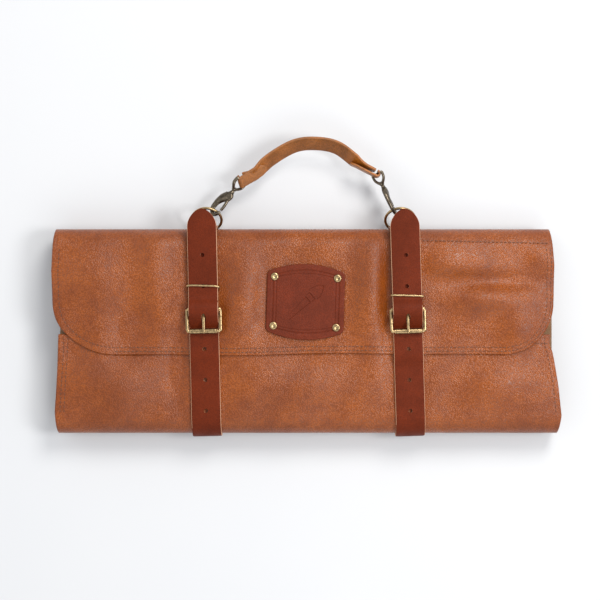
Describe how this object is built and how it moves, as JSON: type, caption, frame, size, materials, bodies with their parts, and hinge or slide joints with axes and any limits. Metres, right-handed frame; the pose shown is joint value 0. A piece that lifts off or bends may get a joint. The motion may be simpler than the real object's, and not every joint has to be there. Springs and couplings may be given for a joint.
{
  "type": "brush roll case",
  "caption": "Folded leather brush case with a round-cornered flap, buckled straps with roller buckles, a badge patch and a carrying handle on snap hooks.",
  "frame": {"origin": "bottom centre of the bounding box, on the surface that the case lies on", "axes": "+X along the case's length, +Y towards the carrying handle, +Z out of the case's front"},
  "size_m": [0.51, 0.3038, 0.0564],
  "materials": {
    "tan_leather": "pebbled, satin",
    "suede_lining": "suede",
    "belt_leather": "smooth, waxed, pale cut edges",
    "badge_leather": "smooth, debossed",
    "handle_leather": "glossy, worn",
    "brass": "antique, rubbed bright on the edges",
    "gunmetal": "dark antique brass"
  },
  "bodies": {
    "root": {"back_panel": "tan_leather", "bottom_fold": "tan_leather", "top_fold": "tan_leather", "back_lining": "suede_lining", "brush_pocket_panel": "suede_lining", "pocket_binding": "tan_leather", "left_strap_back": "belt_leather", "left_strap_bottom_fold": "belt_leather", "left_strap_top_fold": "belt_leather", "left_ring_tab": "belt_leather", "right_strap_back": "belt_leather", "right_strap_bottom_fold": "belt_leather", "right_strap_top_fold": "belt_leather", "right_ring_tab": "belt_leather"},
    "front": {"front_panel": "tan_leather"},
    "flap": {"flap_panel": "tan_leather", "badge": "badge_leather", "badge_rivet_top_left": "brass", "badge_rivet_top_right": "brass", "badge_rivet_bottom_left": "brass", "badge_rivet_bottom_right": "brass", "left_buckle_strap": "belt_leather", "right_buckle_strap": "belt_leather"},
    "left_strap": {"left_strap_tail": "belt_leather"},
    "left_buckle": {"left_buckle_frame": "brass"},
    "left_roller": {"left_buckle_roller": "brass"},
    "left_prong": {"left_buckle_prong": "brass"},
    "left_keeper": {"left_keeper": "brass"},
    "left_ring": {"left_ring": "brass"},
    "left_hook": {"left_hook_claw": "gunmetal"},
    "left_gate": {"left_hook_gate": "gunmetal"},
    "right_strap": {"right_strap_tail": "belt_leather"},
    "right_buckle": {"right_buckle_frame": "brass"},
    "right_roller": {"right_buckle_roller": "brass"},
    "right_prong": {"right_buckle_prong": "brass"},
    "right_keeper": {"right_keeper": "brass"},
    "right_ring": {"right_ring": "brass"},
    "right_hook": {"right_hook_claw": "gunmetal"},
    "right_gate": {"right_hook_gate": "gunmetal"},
    "handle": {"handle_strap": "handle_leather", "left_swivel_eye": "gunmetal", "right_swivel_eye": "gunmetal"}
  },
  "joints": [
    {"name": "flap_fold", "type": "hinge", "parent": "root", "child": "flap", "pos_m": [0, 0.0391, 0.023], "axis": [-1, 0, 0], "range_deg": [0, 95], "deforming": ["top_fold", "left_strap_top_fold", "right_strap_top_fold"]},
    {"name": "front_fold", "type": "hinge", "parent": "root", "child": "front", "pos_m": [0, -0.12985, 0.02165], "axis": [1, 0, 0], "range_deg": [0, 95], "deforming": ["bottom_fold", "left_strap_bottom_fold", "right_strap_bottom_fold"]},
    {"name": "left_strap_fold", "type": "hinge", "parent": "root", "child": "left_strap", "pos_m": [-0.09994, -0.12983, 0.02165], "axis": [0.9998, 0.0218, 0], "range_deg": [0, 95], "deforming": ["left_strap_tail"]},
    {"name": "left_buckle_hinge", "type": "hinge", "parent": "flap", "child": "left_buckle", "pos_m": [-0.10229, -0.02221, 0.049], "axis": [-0.9998, -0.0218, 0], "range_deg": [0, 60]},
    {"name": "left_prong_hinge", "type": "hinge", "parent": "left_buckle", "child": "left_prong", "pos_m": [-0.10229, -0.02221, 0.049], "axis": [-0.9998, -0.0218, 0], "range_deg": [0, 68]},
    {"name": "left_roller_spin", "type": "hinge", "parent": "left_buckle", "child": "left_roller", "pos_m": [-0.10181, -0.0442, 0.049], "axis": [0.9998, 0.0218, 0], "continuous": true},
    {"name": "left_keeper_slide", "type": "slide", "parent": "flap", "child": "left_keeper", "axis": [-0.0218, 0.9998, 0], "range_m": [-0.009, 0.02]},
    {"name": "left_ring_swing", "type": "hinge", "parent": "root", "child": "left_ring", "pos_m": [0, 0.05718, 0.0045], "axis": [1, 0, 0], "range_deg": [-20, 5]},
    {"name": "right_strap_fold", "type": "hinge", "parent": "root", "child": "right_strap", "pos_m": [0.10475, -0.12982, 0.02165], "axis": [0.9995, 0.0314, 0], "range_deg": [0, 95], "deforming": ["right_strap_tail"]},
    {"name": "right_buckle_hinge", "type": "hinge", "parent": "flap", "child": "right_buckle", "pos_m": [0.10137, -0.02222, 0.049], "axis": [-0.9995, -0.0314, 0], "range_deg": [0, 60]},
    {"name": "right_prong_hinge", "type": "hinge", "parent": "right_buckle", "child": "right_prong", "pos_m": [0.10137, -0.02222, 0.049], "axis": [-0.9995, -0.0314, 0], "range_deg": [0, 68]},
    {"name": "right_roller_spin", "type": "hinge", "parent": "right_buckle", "child": "right_roller", "pos_m": [0.10206, -0.04421, 0.049], "axis": [0.9995, 0.0314, 0], "continuous": true},
    {"name": "right_keeper_slide", "type": "slide", "parent": "flap", "child": "right_keeper", "axis": [-0.0314, 0.9995, 0], "range_m": [0, 0.026]},
    {"name": "right_ring_swing", "type": "hinge", "parent": "root", "child": "right_ring", "pos_m": [0, 0.05718, 0.0045], "axis": [1, 0, 0], "range_deg": [-20, 5]},
    {"name": "handle_swing", "type": "hinge", "parent": "left_ring", "child": "handle", "pos_m": [-0.0917, 0.07724, 0.02256], "axis": [1, 0, 0], "range_deg": [-15, 10]},
    {"name": "left_hook_swivel", "type": "hinge", "parent": "handle", "child": "left_hook", "pos_m": [-0.07596, 0.09536, 0.02256], "axis": [0.6561, 0.7547, 0], "range_deg": [-20, 0]},
    {"name": "left_gate_hinge", "type": "hinge", "parent": "left_hook", "child": "left_gate", "pos_m": [-0.079, 0.08661, 0.02497], "axis": [0.4329, -0.3763, -0.8192], "range_deg": [0, 12], "stiffness_Nm_per_rad": 0.02},
    {"name": "right_hook_swivel", "type": "hinge", "parent": "handle", "child": "right_hook", "pos_m": [0.07877, 0.10006, 0.02352], "axis": [-0.4226, 0.9063, 0], "range_deg": [-15, 15]},
    {"name": "right_gate_hinge", "type": "hinge", "parent": "right_hook", "child": "right_gate", "pos_m": [0.08319, 0.09263, 0.01941], "axis": [-0.8865, -0.4134, -0.2079], "range_deg": [0, 12], "stiffness_Nm_per_rad": 0.02}
  ],
  "couplings": [
    {"joint": "front_fold", "follows": "flap_fold", "ratio": 1},
    {"joint": "left_strap_fold", "follows": "flap_fold", "ratio": 1},
    {"joint": "right_strap_fold", "follows": "flap_fold", "ratio": 1},
    {"joint": "right_ring_swing", "follows": "left_ring_swing", "ratio": 1}
  ]
}
